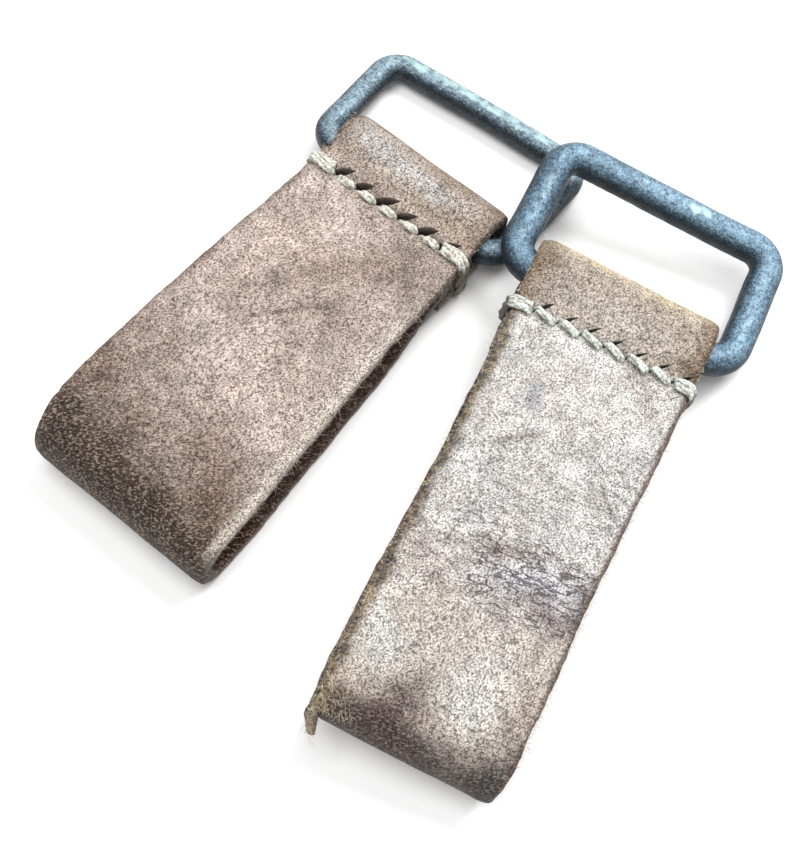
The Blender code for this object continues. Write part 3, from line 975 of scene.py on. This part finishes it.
class Nodes:
    """Short ways to add and join shader nodes of one material."""

    def __init__(self, name, roughness, metallic=0.0):
        self.material = bpy.data.materials.new(name)
        self.material.use_nodes = True
        self.tree = self.material.node_tree
        self.shader = self.tree.nodes["Principled BSDF"]
        self.shader.inputs["Roughness"].default_value = roughness
        self.shader.inputs["Metallic"].default_value = metallic
        self.place = self.add("ShaderNodeTexCoord").outputs["Object"]

    def add(self, kind, inputs=None, **settings):
        """A new node; each of its inputs is given as a number, a colour or another node's output."""
        node = self.tree.nodes.new(kind)
        for key, value in settings.items():
            setattr(node, key, value)
        for key, value in (inputs or {}).items():
            if isinstance(value, bpy.types.NodeSocket):
                self.join(value, node.inputs[key])
            else:
                node.inputs[key].default_value = (*value, 1.0) if isinstance(value, np.ndarray) else value
        return node

    def join(self, source, target):
        self.tree.links.new(source, target)

    def attribute(self, name, output="Fac"):
        return self.add("ShaderNodeAttribute", attribute_name=name).outputs[output]

    def noise(self, scale, detail=3.0, roughness=0.6, stretch=None, turn=0.0):
        place = self.place
        if turn:
            inputs = {"Vector": place, "Angle": turn}
            place = self.add("ShaderNodeVectorRotate", inputs, rotation_type="Z_AXIS").outputs["Vector"]
        if stretch:
            place = self.add("ShaderNodeMapping", {"Vector": place, "Scale": stretch}).outputs["Vector"]
        inputs = {"Vector": place, "Scale": scale, "Detail": detail, "Roughness": roughness}
        return self.add("ShaderNodeTexNoise", inputs).outputs["Fac"]

    def spread(self, value, low, high, to_low=0.0, to_high=1.0):
        inputs = {"Value": value, "From Min": low, "From Max": high, "To Min": to_low, "To Max": to_high}
        return self.add("ShaderNodeMapRange", inputs, interpolation_type="SMOOTHSTEP").outputs["Result"]

    def math(self, operation, one, two):
        return self.add("ShaderNodeMath", {0: one, 1: two}, operation=operation).outputs[0]

    def mix(self, kind, amount, one, two):
        inputs = {0: amount, 6: one, 7: two}
        return self.add("ShaderNodeMix", inputs, data_type="RGBA", blend_type=kind).outputs[2]

    def surface(self, color, specular=0.5):
        """Joins the colour to the shader and sets how strongly it shines."""
        self.join(color, self.shader.inputs["Base Color"])
        self.shader.inputs["Specular IOR Level"].default_value = specular

    def bump(self, height, strength, distance):
        """Adds a bump on top of those that are there."""
        normal = self.shader.inputs["Normal"]
        inputs = {"Strength": strength, "Distance": distance, "Height": height}
        if normal.is_linked:
            inputs["Normal"] = normal.links[0].from_socket
        self.join(self.add("ShaderNodeBump", inputs).outputs["Normal"], normal)


def leather_material(name, dark, pale):
    """Worn suede: painted stains, painted shade and highlights, fine dark and pale specks of nap, creases and
    a rough surface.
    """
    nodes = Nodes(name, 0.9)
    paint = nodes.attribute("paint", "Color")
    fine = nodes.noise(5000.0, 2.0, 0.75, (1.0, 0.65, 1.0), 0.5)
    medium = nodes.noise(2400.0, 3.0, 0.7, (1.0, 0.55, 1.0), -0.35)
    coarse = nodes.noise(360.0, 4.0, 0.65)
    deep = nodes.mix("MULTIPLY", 0.95, paint, srgb(*dark))
    color = nodes.mix("MIX", nodes.spread(fine, 0.36, 0.6), deep, paint)
    pits = nodes.spread(medium, 0.34, 0.48, 1.0, 0.0)
    nap = nodes.attribute("nap")
    color = nodes.mix("MIX", nodes.math("MULTIPLY", pits, nap), color, deep)
    tips = nodes.spread(nodes.noise(3600.0, 2.0, 0.7, (1.0, 0.5, 1.0), 0.9), 0.5, 0.62)
    light = nodes.mix("SCREEN", 0.9, color, srgb(*pale))
    tips = nodes.math("MULTIPLY", nodes.math("MULTIPLY", tips, nap), 0.78)
    color = nodes.mix("MIX", tips, color, light)
    clouds = nodes.spread(coarse, 0.33, 0.67, 0.76, 1.14)
    tone = nodes.add("ShaderNodeHueSaturation")
    nodes.join(color, tone.inputs["Color"])
    nodes.join(clouds, tone.inputs["Value"])
    color = tone.outputs["Color"]
    ridge = nodes.noise(560.0, 3.0, 0.55, (0.42, 1.3, 1.0), -0.12)
    ridge = nodes.math("ABSOLUTE", nodes.math("SUBTRACT", ridge, 0.5), 0.0)
    crack = nodes.math("MULTIPLY", nodes.spread(ridge, 0.004, 0.03, 1.0, 0.0), nodes.attribute("cracks"))
    color = nodes.mix("MIX", nodes.math("MULTIPLY", crack, 0.75), color, srgb(78, 66, 68))
    nodes.surface(color, 0.2)
    nodes.shader.inputs["Sheen Weight"].default_value = 0.1
    nodes.shader.inputs["Sheen Roughness"].default_value = 0.6
    nodes.bump(coarse, 0.5, 0.0007)
    nodes.bump(medium, 0.8, 0.00022)
    nodes.bump(fine, 0.8, 0.00012)
    nodes.bump(crack, 0.8, -0.0004)
    return nodes.material


def steel_material(name, shade, bright):
    """Old galvanised wire: mottled blue-grey zinc with worn pale places and dark grime, a painted highlight
    along its top and painted shade on its sides.
    """
    nodes = Nodes(name, 0.5, 0.15)
    mottle = nodes.spread(nodes.noise(1500.0, 4.0, 0.75), 0.37, 0.63)
    middle = tuple((a + b) / 2 for a, b in zip(shade, bright))
    low = nodes.mix("MIX", mottle, srgb(*shade), srgb(*middle))
    high = nodes.mix("MIX", mottle, srgb(*middle), srgb(*bright))
    # painted highlight: the pale attribute lifts the zinc from its shade colours to its bright ones
    color = nodes.mix("MIX", nodes.attribute("pale"), low, high)
    flecks = nodes.spread(nodes.noise(3600.0, 2.0, 0.7), 0.52, 0.66)
    color = nodes.mix("MIX", nodes.math("MULTIPLY", flecks, 0.45), color, srgb(190, 212, 224))
    pits = nodes.spread(nodes.noise(2300.0, 3.0, 0.7), 0.47, 0.38)
    color = nodes.mix("MIX", nodes.math("MULTIPLY", pits, 0.72), color, srgb(34, 46, 56))
    # grime, and painted shade on the wire's sides and underside
    color = nodes.mix("MIX", nodes.math("MULTIPLY", nodes.attribute("dark"), 0.88), color, srgb(16, 22, 28))
    # worn zinc, and on the left ring a painted highlight along the top of its upper bar
    worn = nodes.attribute("worn")
    broken = nodes.math("ADD", worn, nodes.math("MULTIPLY", nodes.noise(1400.0, 4.0, 0.7), 0.6))
    ragged = nodes.spread(broken, 0.66, 1.15)
    color = nodes.mix("MIX", nodes.math("MULTIPLY", ragged, 0.8), color, srgb(172, 200, 198))
    nodes.surface(color, 0.35)
    gloss = nodes.spread(nodes.noise(500.0, 4.0, 0.6), 0.3, 0.7, 0.38, 0.6)
    nodes.join(gloss, nodes.shader.inputs["Roughness"])
    nodes.bump(nodes.noise(420.0, 4.0, 0.6), 0.35, 0.0004)
    nodes.bump(nodes.noise(1900.0, 3.0, 0.7), 0.5, 0.00012)
    return nodes.material


def thread_material(name, pale, grime):
    """Waxed linen: cream plies with fine fibres and grime between them, and painted shade where the thread
    sinks into the leather.
    """
    nodes = Nodes(name, 0.62)
    fibres = nodes.noise(2400.0, 3.0, 0.7)
    color = nodes.mix("MIX", nodes.spread(fibres, 0.38, 0.62), srgb(*grime), srgb(*pale))
    soil = nodes.spread(nodes.noise(420.0, 3.0, 0.6), 0.52, 0.75)
    color = nodes.mix("MIX", nodes.math("MULTIPLY", soil, 0.35), color, srgb(150, 142, 120))
    # painted shade where the thread sinks below the leather's top
    color = nodes.mix("MIX", nodes.math("MULTIPLY", nodes.attribute("sunk"), 0.8), color, srgb(84, 74, 58))
    nodes.surface(color, 0.3)
    nodes.bump(fibres, 0.6, 0.0001)
    return nodes.material


def fibre_material(name, dark, pale):
    nodes = Nodes(name, 0.9)
    color = nodes.mix("MIX", nodes.spread(nodes.noise(900.0), 0.35, 0.65), srgb(*dark), srgb(*pale))
    nodes.surface(color)
    nodes.bump(nodes.noise(3000.0), 0.3, 0.00005)
    return nodes.material


def floor_material():
    nodes = Nodes("pale_floor", 0.95)
    color = nodes.mix("MIX", nodes.noise(30.0, 2.0), srgb(250, 250, 250), srgb(252, 252, 252))
    nodes.surface(color, 0.0)
    return nodes.material


# ---- putting the scene together


def loop_matrix(record, loop):
    """The loop's own frame in the world, from where the record puts its ring's hinge."""
    joint = next(j for j in record["behaviour"]["joints"] if j["name"] == loop["side"] + "_ring_swing")
    across = Vector(joint["axis"]).normalized()
    forward = Vector((0, 0, 1)).cross(across).normalized()
    up = across.cross(forward)
    turn = Matrix((across, forward, up)).transposed()
    origin = Vector(joint["pos_m"]) - across * loop["ring_shift"] - up * bar_z(loop)
    return Matrix.Translation(origin) @ turn.to_4x4()


def dress(thing, material, matrix, body, node=None):
    thing.data.materials.clear()
    thing.data.materials.append(material)
    thing.matrix_world = matrix
    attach(thing, body)
    if node:
        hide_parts(node)


def make_loops(record):
    looks = {
        "left": {
            "leather": ((98, 80, 68), (148, 132, 116)),
            "steel": ((44, 58, 70), (146, 172, 186)),
            "thread": ((230, 230, 222), (150, 147, 134)),
            "fibres": ((150, 128, 104), (226, 212, 194)),
        },
        "right": {
            "leather": ((108, 94, 82), (136, 130, 124)),
            "steel": ((48, 72, 90), (134, 168, 190)),
            "thread": ((230, 234, 228), (150, 154, 144)),
            "fibres": ((160, 138, 106), (232, 220, 194)),
        },
    }
    for loop in LOOPS:
        side = loop["side"]
        look = looks[side]
        place = loop_matrix(record, loop)
        leather = leather_material(side + "_suede", *look["leather"])
        dress(make_strap(loop), leather, place, side + "_loop", side + "_strap")
        thread = thread_material(side + "_linen", *look["thread"])
        dress(make_thread(loop), thread, place, side + "_loop", side + "_thread")
        steel = steel_material(side + "_zinc", *look["steel"])
        lie = Matrix.Translation((loop["ring_shift"], 0, bar_z(loop)))
        lie = lie @ Matrix.Rotation(loop["ring_tilt"], 4, "X")
        dress(make_ring(loop), steel, place @ lie, side + "_wire", side + "_ring")
        fibre = fibre_material(side + "_fibre", *look["fibres"])
        dress(make_fibres(loop), fibre, place, side + "_loop")
        if side == "right":
            dress(make_flap(loop), leather, place, side + "_loop")


def add_area(name, place, aim, size, power):
    light = bpy.data.lights.new(name, "AREA")
    light.shape = "DISK"
    light.size = size
    light.energy = power
    light.specular_factor = 0.6
    lamp = bpy.data.objects.new(name, light)
    bpy.context.collection.objects.link(lamp)
    lamp.location = place
    lamp.rotation_euler = (Vector(aim) - Vector(place)).to_track_quat("-Z", "Y").to_euler()


def light_and_floor():
    corners = [(-2, -2, 0), (2, -2, 0), (2, 2, 0), (-2, 2, 0)]
    floor = mesh_object("floor", corners, [(0, 1, 2, 3)], smooth=False)
    floor.location.z = -0.00005
    floor.data.materials.append(floor_material())
    world = bpy.data.worlds.new("studio")
    bpy.context.scene.world = world
    world.use_nodes = True
    background = world.node_tree.nodes["Background"]
    background.inputs["Color"].default_value = (1.0, 1.0, 1.0, 1.0)
    background.inputs["Strength"].default_value = 0.5
    add_area("key", (0.08, 0.34, 0.42), (0, 0, 0), 0.3, 2.6)
    add_area("top", (-0.1, -0.05, 0.6), (0, 0, 0), 0.4, 2.4)
    bpy.context.scene.view_settings.view_transform = "Standard"


def add_camera():
    camera = bpy.data.cameras.new("camera")
    camera.sensor_fit = "HORIZONTAL"
    camera.sensor_width = SENSOR
    camera.lens = LENS
    camera.clip_start = 0.01
    eye = bpy.data.objects.new("camera", camera)
    bpy.context.collection.objects.link(eye)
    first, tilt, last = (radians(turn) for turn in CAMERA_TURNS)
    spin = Matrix.Rotation(first, 4, "Z") @ Matrix.Rotation(tilt, 4, "X") @ Matrix.Rotation(last, 4, "Z")
    eye.matrix_world = Matrix.Translation(CAMERA_PLACE) @ spin.transposed()
    bpy.context.scene.camera = eye


def main():
    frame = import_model()
    make_loops(frame["record"])
    light_and_floor()
    add_camera()


main()
